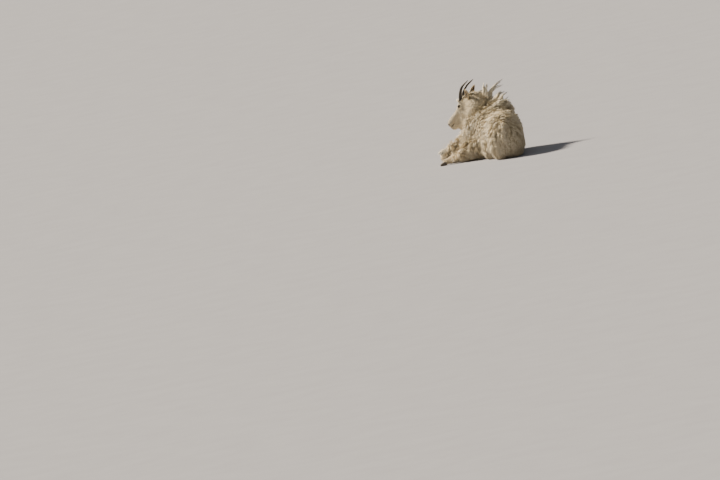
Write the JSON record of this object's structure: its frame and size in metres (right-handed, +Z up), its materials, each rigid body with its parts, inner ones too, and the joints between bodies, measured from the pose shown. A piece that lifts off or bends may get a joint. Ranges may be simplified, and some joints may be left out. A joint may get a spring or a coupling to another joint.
{
  "type": "mountain goat, lying, still model",
  "caption": "Life-size still model of a mountain goat lying down, head turned to its left, with slender horns and a shaggy coat.",
  "frame": {"origin": "middle of the box round the model, on the floor that it rests on", "axes": "+Z up, +Y away from the viewer, roughly from the rump to the withers, and +X to the viewer's right, opposite to the way the head faces"},
  "size_m": [0.8274, 1.0248, 0.7351],
  "materials": {
    "coat": "long matt creamy white hair",
    "horn": "satin black horn with fine rings",
    "hoof": "dull dark grey-brown hoof",
    "eye": "wet dark brown eye"
  },
  "bodies": {
    "root": {"chest": "coat", "ear_left": "coat", "ear_right": "coat", "eye_left": "eye", "eye_right": "eye", "front_cannon_left": "coat", "front_cannon_right": "coat", "front_claw_inner_left": "hoof", "front_claw_inner_right": "hoof", "front_claw_outer_left": "hoof", "front_claw_outer_right": "hoof", "front_forearm_left": "coat", "front_forearm_right": "coat", "front_pastern_left": "coat", "front_pastern_right": "coat", "head": "coat", "hind_cannon_left": "coat", "hind_cannon_right": "coat", "hind_claw_inner_left": "hoof", "hind_claw_inner_right": "hoof", "hind_claw_outer_left": "hoof", "hind_claw_outer_right": "hoof", "hind_pastern_left": "coat", "hind_pastern_right": "coat", "hind_shank_left": "coat", "hind_shank_right": "coat", "horn_left": "horn", "horn_right": "horn", "neck": "coat", "rump": "coat", "shoulder_left": "coat", "shoulder_right": "coat", "tail": "coat", "thigh_left": "coat", "thigh_right": "coat", "torso": "coat"}
  },
  "joints": []
}
